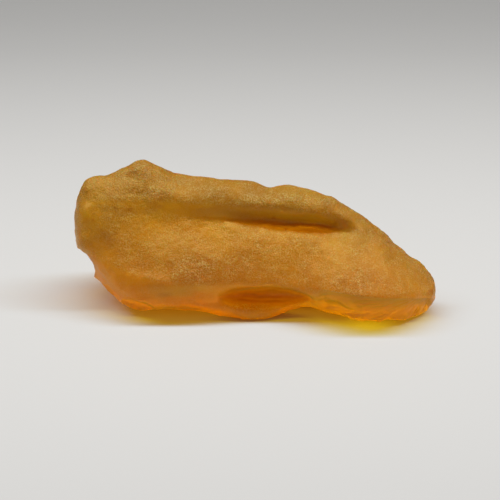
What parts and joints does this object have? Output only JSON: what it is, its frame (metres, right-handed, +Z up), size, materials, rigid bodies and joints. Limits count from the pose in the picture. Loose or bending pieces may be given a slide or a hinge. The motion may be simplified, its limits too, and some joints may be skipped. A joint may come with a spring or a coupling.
{
  "type": "raw copal lump",
  "caption": "Elongated lump of raw golden copal resin with a flow trough, a hollow over a lip and a broken foot, lying on a flat worn underside",
  "frame": {"origin": "centre of the footprint's bounding box, on the surface that the lump rests on", "axes": "+Z up, +X along the lump towards its low broken foot, -Y towards the front face with the flow trough"},
  "size_m": [0.0824, 0.0328, 0.0336],
  "materials": {
    "copal": "see-through golden resin under a frosted, finely grained crust, glossy on the broken faces"
  },
  "bodies": {
    "root": {"copal_lump": "copal"}
  },
  "joints": []
}
